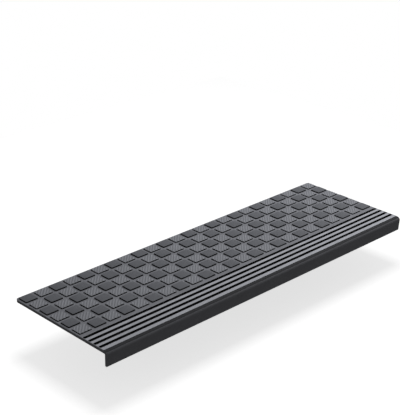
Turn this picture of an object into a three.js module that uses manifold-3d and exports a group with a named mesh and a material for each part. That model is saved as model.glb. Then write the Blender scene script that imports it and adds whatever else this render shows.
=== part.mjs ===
// Anti slip stair tread mat, moulded in one piece of black rubber.
// Millimetres, +Z up. X runs along the step, +Y to the riser, -Y to the nose of the step.
// The origin is the middle of the flat underside, the face that lies on the tread.

import * as THREE from 'three';
import { mergeGeometries, mergeVertices } from 'three/addons/utils/BufferGeometryUtils.js';
import Module from 'manifold-3d';

// Overall sizes
const LENGTH = 750;
const DEPTH = 240;
const PLATE_THICKNESS = 5;
const BACK_CORNER_RADIUS = 6;

// Front lip, which hangs over the nose of the step
const LIP_DROP = 23; // below the underside
const LIP_ROOT_THICKNESS = 5;
const LIP_TIP_THICKNESS = 3.4;
const LIP_TIP_RADIUS = 1.2;
const LIP_END_RADIUS = 1.5;
const NOSE_RADIUS = 6;
const NOSE_WIDTH = 8.6; // smooth band in front of the last strip, its rounding included
const NOSE_STEP = 0.6; // the strip stands above the smooth band by this much
const INNER_CORNER_RADIUS = 1.5;

// Chequer of raised studs, plain and ribbed in turn
const STUD_COLUMNS = 24;
const STUD_ROWS = 6;
const STUD_HEIGHT = 2.5;
const STUD_GAP = 6.1;
const STUD_DRAFT = 0.45; // each wall leans in by this much over the stud's height
const STUD_CORNER = 1.5;
const END_RIM = 3.4; // bare rim outside the studs at each end
const BACK_RIM = 4;

// Ribs across every second stud, left standing between V grooves
const RIB_PITCH = 4.75;
const RIB_ANGLE = Math.PI / 4; // from +X towards +Y
const RIB_GROOVE_WIDTH = 2.5;
const RIB_GROOVE_DEPTH = 0.9;

// Long grip grooves behind the nose
const GROOVE_COUNT = 4;
const GROOVE_WIDTH = 6.2;
const GROOVE_DEPTH = 3;
const GROOVE_DRAFT = 0.5;
const GROOVE_END_RADIUS = 1.6;
const GROOVE_END_RIM = 1.6; // thin rim that closes each end
const GRIP_STRIP_WIDTH = 6.8; // between two grooves
const NOSE_STRIP_WIDTH = 8.3; // from the last groove to the smooth nose
const FIELD_STRIP_WIDTH = 8.6; // from the studs to the first groove

// Fineness of the arcs, and how far a cutter passes the face that it cuts
const OUTLINE_ARC_STEPS = 6;
const GROOVE_ARC_STEPS = 3;
const OVERRUN = 2;

// Places that follow from the sizes
const END_X = LENGTH / 2;
const BACK_Y = DEPTH / 2;
const NOSE_Y = -DEPTH / 2;
const TOP_Z = PLATE_THICKNESS;
const LIP_TIP_Z = -LIP_DROP;
const LIP_INNER_Y = NOSE_Y + LIP_ROOT_THICKNESS;
const NOSE_TOP_Z = TOP_Z - NOSE_STEP;
const NOSE_BACK_Y = NOSE_Y + NOSE_WIDTH;
const STUD_END_X = END_X - END_RIM;
const GROOVE_END_X = END_X - GROOVE_END_RIM;
const GROOVE_PITCH = GROOVE_WIDTH + GRIP_STRIP_WIDTH;
const FIRST_GROOVE_Y = NOSE_BACK_Y + NOSE_STRIP_WIDTH + GROOVE_WIDTH / 2;
const GROOVE_BACK_Y = FIRST_GROOVE_Y + (GROOVE_COUNT - 1) * GROOVE_PITCH + GROOVE_WIDTH / 2;
const FIELD_FRONT_Y = GROOVE_BACK_Y + FIELD_STRIP_WIDTH;
const FIELD_BACK_Y = BACK_Y - BACK_RIM;
const STUD_PITCH_X = (2 * STUD_END_X + STUD_GAP) / STUD_COLUMNS;
const STUD_PITCH_Y = (FIELD_BACK_Y - FIELD_FRONT_Y + STUD_GAP) / STUD_ROWS;
const STUD_LENGTH = STUD_PITCH_X - STUD_GAP;
const STUD_WIDTH = STUD_PITCH_Y - STUD_GAP;

const wasm = await Module();
wasm.setup();

// Turns a closed three.js geometry into a solid for joining and cutting.
function solidOf(geometry) {
  const bare = geometry.clone();
  bare.deleteAttribute('normal');
  bare.deleteAttribute('uv');
  const merged = mergeVertices(bare, 1e-4);
  return new wasm.Manifold(new wasm.Mesh({
    numProp: 3,
    vertProperties: new Float32Array(merged.attributes.position.array),
    triVerts: new Uint32Array(merged.index.array),
  }));
}

// Turns a solid back into a three.js geometry.
function geometryOf(solid) {
  const mesh = solid.getMesh();
  const geometry = new THREE.BufferGeometry();
  geometry.setAttribute('position', new THREE.BufferAttribute(new Float32Array(mesh.vertProperties), 3));
  geometry.setIndex(new THREE.BufferAttribute(new Uint32Array(mesh.triVerts), 1));
  geometry.computeVertexNormals();
  return geometry;
}

// A rectangle round the origin with all four corners rounded.
function roundedRectangle(length, width, radius) {
  const x = length / 2 - radius;
  const y = width / 2 - radius;
  const shape = new THREE.Shape();
  shape.absarc(x, y, radius, 0, Math.PI / 2, false);
  shape.absarc(-x, y, radius, Math.PI / 2, Math.PI, false);
  shape.absarc(-x, -y, radius, Math.PI, 1.5 * Math.PI, false);
  shape.absarc(x, -y, radius, 1.5 * Math.PI, 2 * Math.PI, false);
  shape.closePath();
  return shape;
}

// A rectangle round the origin with its four corners cut off at 45 degrees.
function clippedRectangle(length, width, corner) {
  const x = length / 2;
  const y = width / 2;
  const points = [];
  for (const [sideX, sideY] of [[1, 1], [-1, 1], [-1, -1], [1, -1]]) {
    const ends = [
      new THREE.Vector2(sideX * x, sideY * (y - corner)),
      new THREE.Vector2(sideX * (x - corner), sideY * y),
    ];
    points.push(...(sideX === sideY ? ends : ends.reverse()));
  }
  return new THREE.Shape(points);
}

// The section across the mat, drawn with Y to the right and Z up: plate, smooth nose and lip.
function crossSection() {
  const outerTipY = LIP_INNER_Y - LIP_TIP_THICKNESS;
  const tipArcZ = LIP_TIP_Z + LIP_TIP_RADIUS;
  const noseArcZ = NOSE_TOP_Z - NOSE_RADIUS;
  const section = new THREE.Shape();
  section.moveTo(BACK_Y + OVERRUN, 0);
  section.lineTo(BACK_Y + OVERRUN, TOP_Z);
  section.lineTo(NOSE_BACK_Y, TOP_Z);
  section.lineTo(NOSE_BACK_Y, NOSE_TOP_Z);
  section.absarc(NOSE_Y + NOSE_RADIUS, noseArcZ, NOSE_RADIUS, Math.PI / 2, Math.PI, false);
  section.lineTo(outerTipY, tipArcZ);
  section.absarc(outerTipY + LIP_TIP_RADIUS, tipArcZ, LIP_TIP_RADIUS, Math.PI, 1.5 * Math.PI, false);
  section.absarc(LIP_INNER_Y - LIP_TIP_RADIUS, tipArcZ, LIP_TIP_RADIUS, 1.5 * Math.PI, 2 * Math.PI, false);
  section.lineTo(LIP_INNER_Y, -INNER_CORNER_RADIUS);
  section.absarc(LIP_INNER_Y + INNER_CORNER_RADIUS, -INNER_CORNER_RADIUS, INNER_CORNER_RADIUS,
    Math.PI, Math.PI / 2, true);
  section.closePath();
  return section;
}

// The outline seen from above: the two back corners are rounded.
function planOutline() {
  const cornerX = END_X - BACK_CORNER_RADIUS;
  const cornerY = BACK_Y - BACK_CORNER_RADIUS;
  const plan = new THREE.Shape();
  plan.moveTo(-END_X, NOSE_Y - OVERRUN);
  plan.lineTo(END_X, NOSE_Y - OVERRUN);
  plan.absarc(cornerX, cornerY, BACK_CORNER_RADIUS, 0, Math.PI / 2, false);
  plan.absarc(-cornerX, cornerY, BACK_CORNER_RADIUS, Math.PI / 2, Math.PI, false);
  plan.closePath();
  return plan;
}

// The outline seen from the front: the lip's two lower corners are rounded.
function frontOutline() {
  const cornerX = END_X - LIP_END_RADIUS;
  const cornerZ = LIP_TIP_Z + LIP_END_RADIUS;
  const front = new THREE.Shape();
  front.moveTo(END_X, TOP_Z + OVERRUN);
  front.lineTo(-END_X, TOP_Z + OVERRUN);
  front.absarc(-cornerX, cornerZ, LIP_END_RADIUS, Math.PI, 1.5 * Math.PI, false);
  front.absarc(cornerX, cornerZ, LIP_END_RADIUS, 1.5 * Math.PI, 2 * Math.PI, false);
  front.closePath();
  return front;
}

// The plate with its nose and lip, where the three outlines meet.
function body() {
  const axisX = new THREE.Vector3(1, 0, 0);
  const axisY = new THREE.Vector3(0, 1, 0);
  const axisZ = new THREE.Vector3(0, 0, 1);
  const settings = { bevelEnabled: false, curveSegments: OUTLINE_ARC_STEPS };

  const width = LENGTH + 2 * OVERRUN;
  const across = new THREE.ExtrudeGeometry(crossSection(), { ...settings, depth: width });
  across.translate(0, 0, -width / 2);
  across.applyMatrix4(new THREE.Matrix4().makeBasis(axisY, axisZ, axisX));

  const height = TOP_Z - LIP_TIP_Z + 2 * OVERRUN;
  const above = new THREE.ExtrudeGeometry(planOutline(), { ...settings, depth: height });
  above.translate(0, 0, LIP_TIP_Z - OVERRUN);

  const reach = DEPTH + 4 * OVERRUN;
  const ahead = new THREE.ExtrudeGeometry(frontOutline(), { ...settings, depth: reach });
  ahead.translate(0, 0, -reach / 2);
  ahead.applyMatrix4(new THREE.Matrix4().makeBasis(axisX, axisZ, axisY.clone().negate()));

  return solidOf(across).intersect(solidOf(above)).intersect(solidOf(ahead));
}

// One grip groove, as the block that is cut away: its walls open towards the top.
function grooveCutter(y) {
  const floor = roundedRectangle(2 * (GROOVE_END_X - GROOVE_DRAFT), GROOVE_WIDTH - 2 * GROOVE_DRAFT,
    GROOVE_END_RADIUS);
  const geometry = new THREE.ExtrudeGeometry(floor, {
    depth: OVERRUN,
    curveSegments: GROOVE_ARC_STEPS,
    bevelThickness: GROOVE_DEPTH,
    bevelSize: GROOVE_DRAFT,
    bevelSegments: 1,
  });
  geometry.translate(0, y, TOP_Z);
  return solidOf(geometry);
}

// A plain stud at the origin, its foot at the plate's top. Half of it is buried in the plate.
function plainStud() {
  const top = clippedRectangle(STUD_LENGTH - 2 * STUD_DRAFT, STUD_WIDTH - 2 * STUD_DRAFT, STUD_CORNER);
  const buried = STUD_HEIGHT / 4;
  const geometry = new THREE.ExtrudeGeometry(top, {
    depth: buried,
    bevelThickness: STUD_HEIGHT,
    bevelSize: STUD_DRAFT,
    bevelSegments: 1,
  });
  geometry.translate(0, 0, TOP_Z - buried);
  return solidOf(geometry);
}

// One V groove between two ribs, as the bar that is cut away, at a distance from the stud's middle.
function ribGrooveCutter(offset) {
  const topZ = TOP_Z + STUD_HEIGHT;
  const rise = RIB_GROOVE_DEPTH / 3;
  const halfWidth = (RIB_GROOVE_WIDTH / 2) * (1 + rise / RIB_GROOVE_DEPTH);
  const notch = new THREE.Shape();
  notch.moveTo(0, -RIB_GROOVE_DEPTH);
  notch.lineTo(halfWidth, rise);
  notch.lineTo(-halfWidth, rise);
  notch.closePath();
  const length = 2 * (STUD_LENGTH + STUD_WIDTH);
  const geometry = new THREE.ExtrudeGeometry(notch, { depth: length, bevelEnabled: false });
  geometry.translate(0, 0, -length / 2);
  geometry.rotateX(Math.PI / 2);
  geometry.rotateZ(RIB_ANGLE - Math.PI / 2);
  geometry.translate(-offset * Math.sin(RIB_ANGLE), offset * Math.cos(RIB_ANGLE), topZ);
  return solidOf(geometry);
}

// A stud with ribs running from its front left corner to its back right corner.
function ribbedStud() {
  const halfSpan = (STUD_LENGTH * Math.sin(RIB_ANGLE) + STUD_WIDTH * Math.cos(RIB_ANGLE)) / 2;
  const grooves = Math.floor((halfSpan - RIB_GROOVE_WIDTH / 2) / RIB_PITCH);
  let stud = plainStud();
  for (let k = -grooves; k <= grooves; k += 1) {
    stud = stud.subtract(ribGrooveCutter(k * RIB_PITCH));
  }
  return stud;
}

// All the studs, plain and ribbed in turn like a chequer board.
function studField() {
  const kinds = [geometryOf(plainStud()), geometryOf(ribbedStud())];
  const placed = [];
  for (let row = 0; row < STUD_ROWS; row += 1) {
    for (let column = 0; column < STUD_COLUMNS; column += 1) {
      const x = -STUD_END_X + STUD_LENGTH / 2 + column * STUD_PITCH_X;
      const y = FIELD_BACK_Y - STUD_WIDTH / 2 - row * STUD_PITCH_Y;
      placed.push(kinds[(row + column) % 2].clone().translate(x, y, 0));
    }
  }
  return solidOf(mergeGeometries(placed));
}

// The whole mat as one solid.
function treadMat() {
  let solid = body();
  for (let k = 0; k < GROOVE_COUNT; k += 1) {
    solid = solid.subtract(grooveCutter(FIRST_GROOVE_Y + k * GROOVE_PITCH));
  }
  return geometryOf(solid.add(studField()));
}

const rubber = new THREE.MeshStandardMaterial({ color: 0x4a4b4e, roughness: 0.78, metalness: 0 });
const mat = new THREE.Mesh(treadMat(), rubber);
mat.name = 'stair_tread_mat';

const model = new THREE.Group();
model.add(mat);

export default model;
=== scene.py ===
"""Dresses the moulded rubber mat for one stair tread: its soft edged mesh, its finishes, light and camera."""

from __future__ import annotations

import logging
import math
from dataclasses import dataclass, field
from enum import Enum
from typing import Any, Callable, Iterable

import bmesh
import bpy
from mathutils import Matrix, Vector

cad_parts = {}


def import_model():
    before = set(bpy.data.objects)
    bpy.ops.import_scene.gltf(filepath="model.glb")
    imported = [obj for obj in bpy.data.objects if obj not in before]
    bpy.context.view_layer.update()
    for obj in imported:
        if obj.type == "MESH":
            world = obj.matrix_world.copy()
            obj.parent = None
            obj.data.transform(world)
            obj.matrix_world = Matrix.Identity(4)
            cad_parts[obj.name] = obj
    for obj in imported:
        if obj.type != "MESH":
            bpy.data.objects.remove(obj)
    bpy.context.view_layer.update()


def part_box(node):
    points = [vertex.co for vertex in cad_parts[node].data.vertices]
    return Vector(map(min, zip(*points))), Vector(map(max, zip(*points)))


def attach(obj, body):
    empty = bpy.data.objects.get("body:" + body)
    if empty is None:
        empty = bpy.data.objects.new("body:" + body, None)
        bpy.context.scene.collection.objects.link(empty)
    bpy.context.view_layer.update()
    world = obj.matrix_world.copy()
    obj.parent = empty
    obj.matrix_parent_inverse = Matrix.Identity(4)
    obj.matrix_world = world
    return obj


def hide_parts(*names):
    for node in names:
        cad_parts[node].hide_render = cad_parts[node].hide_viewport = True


LOG = logging.getLogger("stair_tread_mat")
MM = 0.001
NODE = "stair_tread_mat"
PIECE = "rubber_tread_mat"
BODY = "root"
PICTURE_WIDTH = 400
PICTURE_HEIGHT = 415
SENSOR_MM = 36.0
QUARTER_TURN = (0, 30, 60, 90)
SCORE_SLACK = 0.01 * MM
WHITE = (1.0, 1.0, 1.0, 1.0)

# The colour sockets of the Mix node, which share their names with its other kinds
MIX_FACTOR = 0
MIX_FIRST = 6
MIX_SECOND = 7
MIX_RESULT = 2

Colour = tuple[float, float, float]
Place = tuple[float, float, float]
Point = tuple[float, float]
Outline = list[Point]


class Finish(Enum):
    """The finishes on the mat, in the order of its material slots."""

    GRAINED = 0
    STRIP = 1
    PLAIN_STUD = 2
    RIBBED_STUD = 3
    # painted shade: the nose's top, coloured far darker than the lip below it
    NOSE = 4
    SMOOTH = 5
    # painted shade: near-black rubber for walls that stand out of the light
    WALL = 6
    # painted shade: black rubber for the insides of the grooves and the ribbed studs' walls
    GROOVE = 7


class Merge(Enum):
    """How a second shape changes the first, with the modifier's own word for it."""

    JOIN = "UNION"
    CUT = "DIFFERENCE"
    KEEP_SHARED = "INTERSECT"


# Shader maths


@dataclass(frozen=True)
class Wire:
    """One output of a shader node, with the arithmetic that is used on it."""

    graph: "Graph"
    socket: bpy.types.NodeSocket | None

    def __add__(self, other: Any) -> "Wire":
        """Sum with a number or another wire."""
        return self.graph.maths("ADD", self, other)

    def __radd__(self, other: Any) -> "Wire":
        """Sum with a number on the left."""
        return self.graph.maths("ADD", other, self)

    def __sub__(self, other: Any) -> "Wire":
        """Difference from a number or another wire."""
        return self.graph.maths("SUBTRACT", self, other)

    def __rsub__(self, other: Any) -> "Wire":
        """Difference from a number on the left."""
        return self.graph.maths("SUBTRACT", other, self)

    def __mul__(self, other: Any) -> "Wire":
        """Product with a number or another wire."""
        return self.graph.maths("MULTIPLY", self, other)

    def __rmul__(self, other: Any) -> "Wire":
        """Product with a number on the left."""
        return self.graph.maths("MULTIPLY", other, self)

    def between(self, low: float, high: float) -> "Wire":
        """A smooth step from 0 at low to 1 at high.

        Args:
            low: The value where the step starts.
            high: The value where the step ends.

        Returns:
            The step, from 0 to 1.
        """
        return self.graph.node(
            "ShaderNodeMapRange",
            {"interpolation_type": "SMOOTHSTEP"},
            {"Value": self, "From Min": low, "From Max": high},
            "Result",
        )


class Graph:
    """The node tree of one material or world."""

    def __init__(self, tree: bpy.types.NodeTree) -> None:
        """Empties the tree and starts afresh.

        Args:
            tree: The node tree to fill.
        """
        self.tree = tree
        tree.nodes.clear()

    def node(self, kind: str, settings: dict[str, Any], inputs: dict[Any, Any], output: Any = 0) -> Wire:
        """Adds a node.

        Args:
            kind: The node's type name.
            settings: Its properties, set before its sockets.
            inputs: Values or wires by socket name or number.
            output: The name or number of the output that is wanted.

        Returns:
            The wanted output, or an empty wire for a node that has none.
        """
        made = self.tree.nodes.new(kind)
        for name, value in settings.items():
            setattr(made, name, value)
        for name, value in inputs.items():
            if isinstance(value, Wire):
                self.tree.links.new(value.socket, made.inputs[name])
            else:
                made.inputs[name].default_value = value
        return Wire(self, made.outputs[output] if made.outputs else None)

    def maths(self, operation: str, left: Any, right: Any) -> Wire:
        """Adds one Math node.

        Args:
            operation: The node's operation.
            left: The first number or wire.
            right: The second number or wire.

        Returns:
            The result.
        """
        return self.node("ShaderNodeMath", {"operation": operation}, {0: left, 1: right})

    def blend(self, factor: Any, first: Any, second: Any) -> Wire:
        """Mixes two colours.

        Args:
            factor: The share of the second colour.
            first: A colour of four numbers, or a wire.
            second: A colour of four numbers, or a wire.

        Returns:
            The mixed colour.
        """
        settings = {"data_type": "RGBA", "blend_type": "MIX"}
        inputs = {MIX_FACTOR: factor, MIX_FIRST: first, MIX_SECOND: second}
        return self.node("ShaderNodeMix", settings, inputs, MIX_RESULT)

    def place(self) -> Wire:
        """The point on the surface in the mat's own frame, in metres."""
        return self.node("ShaderNodeTexCoord", {}, {}, "Object")

    def noise(self, scale: float, detail: float, roughness: float = 0.5) -> Wire:
        """Cloudy noise through the mat, from 0 to 1.

        Args:
            scale: Cells per metre.
            detail: Octaves.
            roughness: The weight of the finer octaves.

        Returns:
            The noise.
        """
        inputs = {"Vector": self.place(), "Scale": scale, "Detail": detail, "Roughness": roughness}
        return self.node("ShaderNodeTexNoise", {}, inputs, "Fac")

    def bump(self, height: Wire, depth: float) -> Wire:
        """A normal from a height.

        Args:
            height: The height, from 0 to 1.
            depth: What a height of 1 stands for, in metres.

        Returns:
            The normal.
        """
        inputs = {"Height": height, "Distance": depth, "Strength": 1.0}
        return self.node("ShaderNodeBump", {}, inputs, "Normal")


def opaque(colour: Colour) -> tuple[float, float, float, float]:
    """The colour with full alpha."""
    return (*colour, 1.0)


def scaled(colour: Colour, share: float) -> Colour:
    """The colour made lighter or darker by a share."""
    return (colour[0] * share, colour[1] * share, colour[2] * share)


# Finishes


@dataclass(frozen=True)
class RubberFinish:
    """One finish of the black rubber: a mottled colour with a moulded grain.

    The mottle is how far the colour strays either way, as a share of it. The colour may carry painted shade,
    darker with depth into the hollows: it is whole from the height valley_shade_to up, and valley_shade_share
    of it is left from valley_shade_from down.
    """

    name: str
    colour: Colour
    mottle: float
    roughness: float
    specular: float
    grain_per_m: float
    grain_depth: float
    valley_shade_share: float = 1.0
    valley_shade_from: float = 0.0
    valley_shade_to: float = 0.0
    cloud_per_m: float = 38.0
    cloud_detail: float = 3.0
    cloud_share: float = 0.3
    grain_detail: float = 4.0
    grain_harshness: float = 0.65
    tint_range: tuple[float, float] = (0.3, 0.7)
    rough_range: tuple[float, float] = (0.2, 0.8)
    rough_spread: float = 0.12

    def material(self) -> bpy.types.Material:
        """Makes the material.

        Returns:
            The material, ready for a slot.
        """
        material = bpy.data.materials.new(self.name)
        material.use_nodes = True
        graph = Graph(material.node_tree)
        cloud = graph.noise(self.cloud_per_m, self.cloud_detail)
        grain = graph.noise(self.grain_per_m, self.grain_detail, self.grain_harshness)
        light = opaque(scaled(self.colour, 1.0 + self.mottle))
        dark = opaque(scaled(self.colour, 1.0 - self.mottle))
        patches = cloud.between(*self.tint_range) * self.cloud_share
        specks = grain.between(*self.tint_range) * (1 - self.cloud_share)
        tint = graph.blend(patches + specks, dark, light)
        # painted shade: the colour darkens towards the floors of the hollows
        if self.valley_shade_share < 1.0:
            height = graph.node("ShaderNodeSeparateXYZ", {}, {0: graph.place()}, "Z")
            depth = 1 - height.between(self.valley_shade_from, self.valley_shade_to)
            tint = graph.blend(depth, tint, opaque(scaled(self.colour, self.valley_shade_share)))
        smoothest = self.roughness - self.rough_spread / 2
        surface = graph.node(
            "ShaderNodeBsdfPrincipled",
            {},
            {
                "Base Color": tint,
                "Roughness": grain.between(*self.rough_range) * self.rough_spread + smoothest,
                "Specular IOR Level": self.specular,
                "Normal": graph.bump(grain, self.grain_depth),
            },
        )
        graph.node("ShaderNodeOutputMaterial", {}, {"Surface": surface})
        return material


FINISHES: dict[Finish, RubberFinish] = {
    Finish.GRAINED: RubberFinish(
        name="grained_rubber",
        colour=(0.155, 0.1585, 0.175),
        mottle=0.18,
        roughness=0.8,
        specular=0.25,
        grain_per_m=900.0,
        grain_depth=0.10 * MM,
    ),
    Finish.STRIP: RubberFinish(
        name="grip_strip_rubber",
        colour=(0.305, 0.312, 0.340),
        mottle=0.18,
        roughness=0.8,
        specular=0.25,
        grain_per_m=900.0,
        grain_depth=0.10 * MM,
    ),
    Finish.PLAIN_STUD: RubberFinish(
        name="plain_stud_rubber",
        colour=(0.077, 0.080, 0.090),
        mottle=0.12,
        roughness=0.75,
        specular=0.25,
        grain_per_m=900.0,
        grain_depth=0.06 * MM,
    ),
    Finish.RIBBED_STUD: RubberFinish(
        name="ribbed_stud_rubber",
        colour=(0.200, 0.206, 0.226),
        mottle=0.15,
        roughness=0.8,
        specular=0.25,
        grain_per_m=900.0,
        grain_depth=0.08 * MM,
        # painted shade in the rib valleys, on top of the ribbed rubber's own tone
        valley_shade_share=0.7,
        valley_shade_from=6.7 * MM,
        valley_shade_to=7.4 * MM,
    ),
    # painted shade: the nose's top is coloured far darker than the smooth lip, against the light from above
    Finish.NOSE: RubberFinish(
        name="nose_top_painted_shade_rubber",
        colour=(0.022, 0.0225, 0.0245),
        mottle=0.12,
        roughness=0.75,
        specular=0.08,
        grain_per_m=700.0,
        grain_depth=0.05 * MM,
    ),
    Finish.SMOOTH: RubberFinish(
        name="smooth_rubber",
        colour=(0.080, 0.081, 0.088),
        mottle=0.12,
        roughness=0.75,
        specular=0.08,
        grain_per_m=700.0,
        grain_depth=0.06 * MM,
    ),
    # painted shade: the same rubber made near-black where walls stand out of the light
    Finish.WALL: RubberFinish(
        name="wall_painted_shade_rubber",
        colour=(0.004, 0.004, 0.0042),
        mottle=0.08,
        roughness=0.8,
        specular=0.06,
        grain_per_m=600.0,
        grain_depth=0.04 * MM,
    ),
    # painted shade: the same rubber made black inside the grooves and on the ribbed studs' walls
    Finish.GROOVE: RubberFinish(
        name="groove_painted_shade_rubber",
        colour=(0.003, 0.003, 0.0032),
        mottle=0.08,
        roughness=0.85,
        specular=0.03,
        grain_per_m=600.0,
        grain_depth=0.04 * MM,
    ),
}


# Mesh helpers


def mesh_object(name: str, shape: bmesh.types.BMesh) -> bpy.types.Object:
    """Turns a bmesh into an object in the scene.

    Args:
        name: The object's name.
        shape: The bmesh, which is freed.

    Returns:
        The object.
    """
    mesh = bpy.data.meshes.new(name)
    bmesh.ops.recalc_face_normals(shape, faces=shape.faces)
    shape.to_mesh(mesh)
    shape.free()
    made = bpy.data.objects.new(name, mesh)
    bpy.context.scene.collection.objects.link(made)
    return made


def combine(base: bpy.types.Object, tool: bpy.types.Object, merge: Merge) -> None:
    """Joins or cuts base with tool, and deletes tool.

    Args:
        base: The object that changes.
        tool: The object that is added, cut away or intersected.
        merge: Which of these it is.
    """
    modifier = base.modifiers.new("combine", "BOOLEAN")
    modifier.operation = merge.value
    modifier.solver = "MANIFOLD"
    modifier.object = tool
    graph = bpy.context.evaluated_depsgraph_get()
    result = bpy.data.meshes.new_from_object(base.evaluated_get(graph))
    base.modifiers.clear()
    old = base.data
    base.data = result
    bpy.data.meshes.remove(old)
    bpy.data.objects.remove(tool)


def score(thing: bpy.types.Object, axis: Vector, places: Iterable[float]) -> None:
    """Divides the faces that cross planes square to an axis, with the shape as it was.

    Args:
        thing: The object whose mesh is divided.
        axis: The planes' normal.
        places: How far along the axis each plane lies.
    """
    shape = bmesh.new()
    shape.from_mesh(thing.data)
    for place in places:
        everything = shape.verts[:] + shape.edges[:] + shape.faces[:]
        point = axis * place
        bmesh.ops.bisect_plane(shape, geom=everything, dist=SCORE_SLACK, plane_co=point, plane_no=axis)
    shape.to_mesh(thing.data)
    shape.free()


def arc(centre: Point, radius: float, start: float, end: float, steps: int) -> Outline:
    """Points on an arc.

    Args:
        centre: The arc's centre.
        radius: Its radius.
        start: The first angle, in degrees.
        end: The last angle, in degrees.
        steps: The number of chords.

    Returns:
        The points, both ends included.
    """
    points = []
    for k in range(steps + 1):
        angle = math.radians(start + (end - start) * k / steps)
        points.append((centre[0] + radius * math.cos(angle), centre[1] + radius * math.sin(angle)))
    return points


def rounded_outline(length: float, width: float, radius: float, steps: int) -> Outline:
    """A rectangle round the origin with rounded corners, anticlockwise.

    Args:
        length: Its size along X.
        width: Its size along Y.
        radius: The corner radius.
        steps: Chords in each corner.

    Returns:
        The outline's points.
    """
    x, y = length / 2 - radius, width / 2 - radius
    corners = ((x, y, 0), (-x, y, 90), (-x, -y, 180), (x, -y, 270))
    return [p for cx, cy, turn in corners for p in arc((cx, cy), radius, turn, turn + 90, steps)]


def loft(rings: list[list[Vector]]) -> bmesh.types.BMesh:
    """Skins closed rings of equal count, with a cap on the first and the last.

    Args:
        rings: The rings, in order.

    Returns:
        The closed shape.
    """
    shape = bmesh.new()
    loops = [[shape.verts.new(point) for point in ring] for ring in rings]
    count = len(loops[0])
    for lower, upper in zip(loops, loops[1:]):
        for k in range(count):
            shape.faces.new((lower[k], lower[(k + 1) % count], upper[(k + 1) % count], upper[k]))
    shape.faces.new(list(reversed(loops[0])))
    shape.faces.new(loops[-1])
    return shape


def sweep(
    outline: Outline, length: float, place: Callable[[float, float, float], Vector]
) -> bmesh.types.BMesh:
    """Sweeps a flat outline straight along its normal, half the length each way.

    Args:
        outline: The outline's points.
        length: The whole length.
        place: Gives the point for an outline point and a distance along the sweep.

    Returns:
        The closed shape.
    """
    return loft([[place(a, b, side * length / 2) for a, b in outline] for side in (-1, 1)])


# The mat


@dataclass
class MatBody:
    """The plate with its rounded nose and the lip that hangs in front of the step."""

    low: Vector
    high: Vector
    stud_height: float = 2.5 * MM
    lip_root: float = 5.0 * MM
    lip_tip: float = 3.4 * MM
    tip_radius: float = 1.2 * MM
    nose_radius: float = 6.0 * MM
    nose_width: float = 8.6 * MM
    nose_step: float = 0.6 * MM
    inner_radius: float = 1.5 * MM
    back_corner: float = 6.0 * MM
    lip_corner: float = 1.5 * MM
    edge_radius: float = 0.5 * MM
    step_radius: float = 0.25 * MM
    margin: float = 5.0 * MM
    corner_steps: int = 10
    lip_steps: int = 5
    edge_steps: int = 3

    @property
    def top(self) -> float:
        """The height of the plate's top."""
        return self.high.z - self.stud_height

    @property
    def nose_back(self) -> float:
        """The Y where the smooth nose ends and the front strip begins."""
        return self.low.y + self.nose_width

    def section(self) -> Outline:
        """The section across the mat as Y and Z, anticlockwise from the top of the back edge."""
        nose, inner = self.low.y, self.low.y + self.lip_root
        outer = inner - self.lip_tip
        back, edge = self.high.y, self.edge_radius
        tip_z = self.low.z + self.tip_radius
        step, nose_top = self.step_radius, self.top - self.nose_step
        round_nose = (nose + self.nose_radius, nose_top - self.nose_radius)
        inside_lip = (inner + self.inner_radius, -self.inner_radius)
        points = arc((back - edge, self.top - edge), edge, 0, 90, self.edge_steps)
        points += arc((self.nose_back + step, self.top - step), step, 90, 180, self.edge_steps)
        points += arc((self.nose_back - step, nose_top + step), step, 360, 270, self.edge_steps)
        points += arc(round_nose, self.nose_radius, 90, 180, self.corner_steps)
        points += arc((outer + self.tip_radius, tip_z), self.tip_radius, 180, 270, self.lip_steps)
        points += arc((inner - self.tip_radius, tip_z), self.tip_radius, 270, 360, self.lip_steps)
        points += arc(inside_lip, self.inner_radius, 180, 90, self.lip_steps)
        points += arc((back - edge, edge), edge, 270, 360, self.edge_steps)
        return points

    def plan(self) -> Outline:
        """The outline from above as X and Y, with the back corners rounded."""
        x, y, r = self.high.x, self.high.y, self.back_corner
        front = self.low.y - self.margin
        points = [(-x, front), (x, front)]
        points += arc((x - r, y - r), r, 0, 90, self.corner_steps)
        points += arc((r - x, y - r), r, 90, 180, self.corner_steps)
        return points

    def front(self) -> Outline:
        """The outline from the front as X and Z, with the lip's lower corners rounded."""
        x, r, e = self.high.x, self.lip_corner, self.edge_radius
        low, top = self.low.z, self.top
        points = arc((x - e, top - e), e, 0, 90, self.edge_steps)
        points += arc((e - x, top - e), e, 90, 180, self.edge_steps)
        points += arc((r - x, low + r), r, 180, 270, self.corner_steps)
        points += arc((x - r, low + r), r, 270, 360, self.corner_steps)
        return points

    def build(self) -> bpy.types.Object:
        """Makes the body where its section, plan and front outlines meet.

        Returns:
            The body.
        """
        length = self.high.x - self.low.x
        depth = self.high.y - self.low.y
        # A sweep reaches as far up as down from the underside, so this one clears the lip's tip too
        tall = 4 * (self.high.z - self.low.z)
        section = sweep(self.section(), length + 2 * self.margin, lambda y, z, x: Vector((x, y, z)))
        body = mesh_object(NODE, section)
        plan = sweep(self.plan(), tall, lambda x, y, z: Vector((x, y, z)))
        combine(body, mesh_object("plan", plan), Merge.KEEP_SHARED)
        front = sweep(self.front(), depth + 2 * self.margin, lambda x, z, y: Vector((x, y, z)))
        combine(body, mesh_object("front", front), Merge.KEEP_SHARED)
        return body


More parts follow.
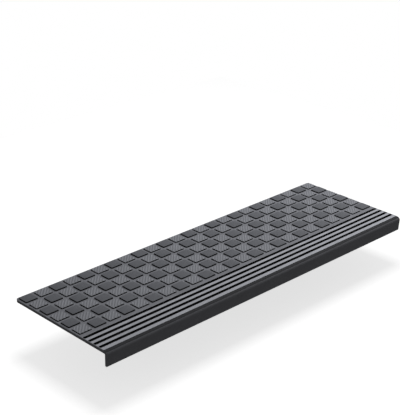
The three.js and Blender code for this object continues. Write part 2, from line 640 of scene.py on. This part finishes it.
@dataclass
class GripGrooves:
    """The long grooves behind the nose."""

    body: MatBody
    count: int = 4
    width: float = 6.2 * MM
    depth: float = 3.0 * MM
    draft: float = 0.5 * MM
    strip: float = 6.8 * MM
    nose_strip: float = 8.3 * MM
    end_rim: float = 1.6 * MM
    end_radius: float = 2.1 * MM
    lip_round: float = 0.45 * MM
    floor_round: float = 0.8 * MM
    end_steps: int = 6

    def middles(self) -> list[float]:
        """The Y of each groove's middle."""
        first = self.body.nose_back + self.nose_strip + self.width / 2
        return [first + k * (self.width + self.strip) for k in range(self.count)]

    def back(self) -> float:
        """The Y of the last groove's back edge."""
        return self.middles()[-1] + self.width / 2

    def edges(self) -> list[float]:
        """The Y of every groove's two edges, past their rounding."""
        reach = self.width / 2 + self.lip_round
        return [y + side * reach for y in self.middles() for side in (-1, 1)]

    def profile(self) -> Outline:
        """Outset from the groove's top edge and height, from the floor up past the rounded rim."""
        top, r, f = self.body.top, self.lip_round, self.floor_round
        slope = self.draft / self.depth
        floor = top - self.depth
        points = []
        for angle in QUARTER_TURN:
            a = math.radians(angle)
            points.append((-self.draft - f * (1 - math.sin(a)), floor + f * (1 - math.cos(a))))
        for angle in QUARTER_TURN:
            a = math.radians(angle)
            points.append((r * (1 - math.cos(a)) - slope * r * math.cos(a), top - r * (1 - math.sin(a))))
        points.append((points[-1][0], top + self.body.margin))
        return points

    def cut(self, mat: bpy.types.Object) -> None:
        """Cuts the grooves.

        Args:
            mat: The body that they are cut in.
        """
        length = 2 * (self.body.high.x - self.end_rim)
        for y in self.middles():
            rings = []
            for outset, z in self.profile():
                long, wide = length + 2 * outset, self.width + 2 * outset
                outline = rounded_outline(long, wide, self.end_radius + outset, self.end_steps)
                rings.append([Vector((px, py + y, z)) for px, py in outline])
            combine(mat, mesh_object("groove", loft(rings)), Merge.CUT)


@dataclass
class StudField:
    """The chequer of raised studs, plain and ribbed in turn."""

    body: MatBody
    grooves: GripGrooves
    columns: int = 24
    rows: int = 6
    gap: float = 6.1 * MM
    end_rim: float = 3.4 * MM
    back_rim: float = 4.0 * MM
    field_strip: float = 8.6 * MM
    draft: float = 0.45 * MM
    corner: float = 1.9 * MM
    edge_round: float = 0.4 * MM
    sunk: float = 0.5 * MM
    rib_pitch: float = 4.75 * MM
    rib_depth: float = 0.9 * MM
    rib_angle: float = math.radians(45)
    crest_gap: float = 0.04 * MM
    crest_power: float = 1.3
    wave_steps: int = 8
    corner_steps: int = 4

    @property
    def pitch(self) -> tuple[float, float]:
        """The distance from stud to stud along X and Y."""
        along = 2 * (self.body.high.x - self.end_rim) + self.gap
        across = self.body.high.y - self.back_rim - self.front + self.gap
        return along / self.columns, across / self.rows

    @property
    def front(self) -> float:
        """The Y where the stud field begins, behind the strips."""
        return self.grooves.back() + self.field_strip

    @property
    def size(self) -> tuple[float, float]:
        """A stud's length and width at its foot."""
        return self.pitch[0] - self.gap, self.pitch[1] - self.gap

    def middle(self, column: int, row: int) -> tuple[float, float]:
        """The middle of one stud.

        Args:
            column: Its column, from the left.
            row: Its row, from the back.

        Returns:
            Its X and Y.
        """
        x = self.end_rim - self.body.high.x + self.size[0] / 2 + column * self.pitch[0]
        y = self.body.high.y - self.back_rim - self.size[1] / 2 - row * self.pitch[1]
        return x, y

    def is_ribbed(self, column: int, row: int) -> bool:
        """Whether the stud there has ribs."""
        return (column + row) % 2 == 1

    def cell(self, x: float, y: float) -> tuple[int, int]:
        """The column and row of the stud cell that holds a point.

        Args:
            x: The point's X.
            y: The point's Y.

        Returns:
            The column and the row, which may lie outside the field.
        """
        first_x, first_y = self.middle(0, 0)
        return round((x - first_x) / self.pitch[0]), round((first_y - y) / self.pitch[1])

    def profile(self) -> Outline:
        """Outset from the foot and height, from the buried foot to the rounded top edge."""
        top, r = self.body.high.z, self.edge_round
        slope = self.draft / self.body.stud_height
        points = [(slope * self.sunk, self.body.top - self.sunk), (0.0, self.body.top)]
        for angle in QUARTER_TURN:
            a = math.radians(angle)
            outset = -self.draft + slope * r * math.cos(a) - r * (1 - math.cos(a))
            points.append((outset, top - r * (1 - math.sin(a))))
        return points

    def stud(self) -> bmesh.types.BMesh:
        """A plain stud round the origin."""
        rings = []
        for outset, z in self.profile():
            long, wide = self.size[0] + 2 * outset, self.size[1] + 2 * outset
            outline = rounded_outline(long, wide, self.corner + outset, self.corner_steps)
            rings.append([Vector((x, y, z)) for x, y in outline])
        return loft(rings)

    def wave(self) -> bmesh.types.BMesh:
        """The block above the ribs, whose lower side is the mould's row of round crests and hollows."""
        reach = self.size[0] + self.size[1]
        crest = self.body.high.z - self.crest_gap
        half = int(reach / self.rib_pitch / 2 + 1)
        count = 2 * half * self.wave_steps
        points = []
        for k in range(count + 1):
            across = self.rib_pitch * (k / self.wave_steps - half)
            turn = 2 * math.pi * across / self.rib_pitch
            dip = (1 + math.cos(turn)) / 2
            points.append((across, crest - self.rib_depth * dip**self.crest_power))
        side, lid = half * self.rib_pitch, crest + self.body.margin
        points += [(side, lid), (-side, lid)]
        c, s = math.cos(self.rib_angle), math.sin(self.rib_angle)
        return sweep(points, 2 * reach, lambda a, z, t: Vector((t * c - a * s, t * s + a * c, z)))

    def ribbed(self) -> bpy.types.Object:
        """A ribbed stud round the origin."""
        made = mesh_object("ribbed_stud", self.stud())
        combine(made, mesh_object("wave", self.wave()), Merge.CUT)
        return made

    def add(self, mat: bpy.types.Object) -> None:
        """Joins all the studs to the mat.

        Args:
            mat: The body that carries them.
        """
        masters = [mesh_object("plain_stud", self.stud()), self.ribbed()]
        field_shape = bmesh.new()
        for row in range(self.rows):
            for column in range(self.columns):
                before = len(field_shape.verts)
                field_shape.from_mesh(masters[self.is_ribbed(column, row)].data)
                field_shape.verts.ensure_lookup_table()
                x, y = self.middle(column, row)
                bmesh.ops.translate(field_shape, verts=field_shape.verts[before:], vec=(x, y, 0))
        for master in masters:
            bpy.data.objects.remove(master)
        combine(mat, mesh_object("stud_field", field_shape), Merge.JOIN)


@dataclass
class TreadMat:
    """The whole mat, in one piece.

    A face is a top face when the upward part of its normal passes a limit: top_normal on studs and ground,
    strip_normal on the strips, whose rounded rims belong to the grooves, and nose_normal on the nose. A
    stud's own finish starts at stud_share of its height. The grooves' finish starts at rim_share of the end
    rim and goes down to groove_reach of their depth. Painted shade goes on the studs' walls, the grooves and
    the step behind the nose, which are near-black, and on the nose's top, which is coloured darker than the
    lip below it.
    """

    body: MatBody
    grooves: GripGrooves = field(init=False)
    studs: StudField = field(init=False)
    top_normal: float = 0.6
    strip_normal: float = 0.97
    nose_normal: float = 0.8
    stud_share: float = 1 / 3
    rim_share: float = 1 / 2
    groove_reach: float = 1.1
    smooth_angle: float = math.radians(35)

    def __post_init__(self) -> None:
        """Sets the grooves and studs out on the body."""
        self.grooves = GripGrooves(self.body)
        self.studs = StudField(self.body, self.grooves)

    def finish_at(self, centre: Vector, normal: Vector) -> Finish:
        """The finish of the face at a place.

        Args:
            centre: The face's middle.
            normal: The way it looks.

        Returns:
            The finish.
        """
        above = centre.z - self.body.top
        # painted shade: the nose's top faces are coloured far darker than the lip below them
        if centre.y < self.body.nose_back:
            return Finish.NOSE if normal.z > self.nose_normal else Finish.SMOOTH
        column, row = self.studs.cell(centre.x, centre.y)
        on_field = 0 <= column < self.studs.columns and 0 <= row < self.studs.rows
        if on_field and above > self.body.stud_height * self.stud_share:
            ribbed = self.studs.is_ribbed(column, row)
            # painted shade: the walls of plain studs are near-black, and those of ribbed studs take the still
            # darker groove colour
            if normal.z < self.top_normal:
                return Finish.GROOVE if ribbed else Finish.WALL
            return Finish.RIBBED_STUD if ribbed else Finish.PLAIN_STUD
        on_strips = centre.y < self.grooves.back() + self.grooves.lip_round
        from_end = self.body.high.x - abs(centre.x)
        flat = normal.z > (self.strip_normal if on_strips else self.top_normal)
        if flat and above > -self.body.edge_radius:
            return Finish.STRIP if on_strips and from_end > self.grooves.end_rim else Finish.GRAINED
        past_rim = from_end > self.grooves.end_rim * self.rim_share
        # painted shade: the grooves' walls and floors are black
        if on_strips and past_rim and -self.grooves.depth * self.groove_reach < above < 0:
            return Finish.GROOVE
        # painted shade: the step down from the front strip to the nose, and walls above the plate's top, are
        # near-black
        by_step = centre.y < self.body.nose_back + self.body.edge_radius and above > -self.body.nose_step
        return Finish.WALL if above > 0 or by_step else Finish.SMOOTH

    def build(self) -> bpy.types.Object:
        """Builds the mat, gives each face its finish and hangs it on the frame.

        Returns:
            The finished piece.
        """
        mat = self.body.build()
        self.grooves.cut(mat)
        self.studs.add(mat)
        score(mat, Vector((0, 1, 0)), self.grooves.edges())
        rim = self.body.high.x - self.grooves.end_rim
        score(mat, Vector((1, 0, 0)), (-rim, rim))
        mat.name = PIECE
        mesh = mat.data
        mesh.materials.clear()
        for finish in Finish:
            mesh.materials.append(FINISHES[finish].material())
        for face in mesh.polygons:
            face.material_index = self.finish_at(face.center, face.normal).value
        mesh.shade_smooth()
        mesh.set_sharp_from_angle(angle=self.smooth_angle)
        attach(mat, BODY)
        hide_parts(NODE)
        return mat


# Surroundings


@dataclass(frozen=True)
class SoftBox:
    """A square lamp that looks at a point."""

    name: str
    place: Place
    aim: Place
    size: float
    watts: float

    def build(self) -> bpy.types.Object:
        """Adds the lamp to the scene.

        Returns:
            The lamp.
        """
        light = bpy.data.lights.new(self.name, "AREA")
        light.shape = "SQUARE"
        light.size = self.size
        light.energy = self.watts
        made = bpy.data.objects.new(self.name, light)
        bpy.context.scene.collection.objects.link(made)
        made.location = self.place
        made.rotation_euler = (Vector(self.aim) - Vector(self.place)).to_track_quat("-Z", "Y").to_euler()
        return made


@dataclass
class Studio:
    """The pale floor, the soft light and the camera, whose focal length is in pixels of the photograph."""

    floor_z: float = -0.10
    floor_size: float = 2.0
    floor_tone: float = 0.8
    floor_glow: float = 0.70
    sky_light: float = 0.2
    azimuth: float = math.radians(-44.41)
    elevation: float = math.radians(23.9)
    roll: float = math.radians(0.644)
    camera_place: Place = (-1.369, -1.338, 0.9472)
    focal_pixels: float = 1166.3
    key: SoftBox = SoftBox("key", (0.06, 0.12, 1.8), (0.06, 0.12, 0.0), 0.8, 12.0)
    side: SoftBox = SoftBox("side", (0.8, 0.05, 1.0), (0.4, 0.0, 0.0), 0.5, 8.8)

    def seen_directly(self, graph: Graph) -> Wire:
        """1 for what the camera, a reflection or glass shows, 0 for light on its way.

        Args:
            graph: The node tree to add it to.

        Returns:
            The mask.
        """
        path = graph.node("ShaderNodeLightPath", {}, {}, "Is Camera Ray")
        outputs = path.socket.node.outputs
        seen = path + Wire(graph, outputs["Is Glossy Ray"]) + Wire(graph, outputs["Is Transmission Ray"])
        return graph.maths("MINIMUM", seen, 1.0)

    def world(self) -> None:
        """A white backdrop that lights the mat more softly than it looks."""
        world = bpy.data.worlds.new("studio")
        bpy.context.scene.world = world
        world.use_nodes = True
        graph = Graph(world.node_tree)
        seen = self.seen_directly(graph)
        strength = seen * (1 - self.sky_light) + self.sky_light
        background = graph.node("ShaderNodeBackground", {}, {"Color": WHITE, "Strength": strength})
        graph.node("ShaderNodeOutputWorld", {}, {"Surface": background})

    def floor(self) -> bpy.types.Object:
        """A pale floor that keeps the mat's shadow.

        Returns:
            The floor.
        """
        half = self.floor_size / 2
        corners = ((-half, -half), (half, -half), (half, half), (-half, half))
        shape = bmesh.new()
        shape.faces.new([shape.verts.new((x, y, self.floor_z)) for x, y in corners])
        made = mesh_object("floor", shape)
        material = bpy.data.materials.new("floor")
        material.use_nodes = True
        graph = Graph(material.node_tree)
        seen = self.seen_directly(graph)
        matt = graph.node("ShaderNodeBsdfDiffuse", {}, {"Color": opaque((self.floor_tone,) * 3)})
        strength = seen * self.floor_glow
        glow = graph.node("ShaderNodeEmission", {}, {"Color": WHITE, "Strength": strength})
        both = graph.node("ShaderNodeAddShader", {}, {0: matt, 1: glow})
        graph.node("ShaderNodeOutputMaterial", {}, {"Surface": both})
        made.data.materials.append(material)
        return made

    def camera(self) -> None:
        """A camera at the photograph's angle and distance."""
        data = bpy.data.cameras.new("camera")
        data.sensor_width = SENSOR_MM
        data.lens = self.focal_pixels / max(PICTURE_WIDTH, PICTURE_HEIGHT) * SENSOR_MM
        made = bpy.data.objects.new("camera", data)
        bpy.context.scene.collection.objects.link(made)
        turn = Matrix.Rotation(self.azimuth, 4, "Z") @ Matrix.Rotation(math.pi / 2 - self.elevation, 4, "X")
        place = Matrix.Translation(Vector(self.camera_place))
        made.matrix_world = place @ turn @ Matrix.Rotation(self.roll, 4, "Z")
        bpy.context.scene.camera = made

    def build(self, mat: bpy.types.Object) -> None:
        """Sets everything up round the mat.

        Args:
            mat: The mat, which the side lamp lights without the floor.
        """
        bpy.context.scene.view_settings.view_transform = "Standard"
        self.camera()
        self.world()
        self.floor()
        self.key.build()
        lit = bpy.data.collections.new("lit_from_the_side")
        lit.objects.link(mat)
        self.side.build().light_linking.receiver_collection = lit


def main() -> None:
    """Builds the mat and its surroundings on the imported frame."""
    logging.basicConfig(level=logging.INFO, format="%(message)s")
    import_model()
    low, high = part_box(NODE)
    mat = TreadMat(MatBody(low, high)).build()
    Studio().build(mat)
    mat.data.calc_loop_triangles()
    LOG.info("%s: %d triangles", mat.name, len(mat.data.loop_triangles))


if __name__ == "__main__":
    main()
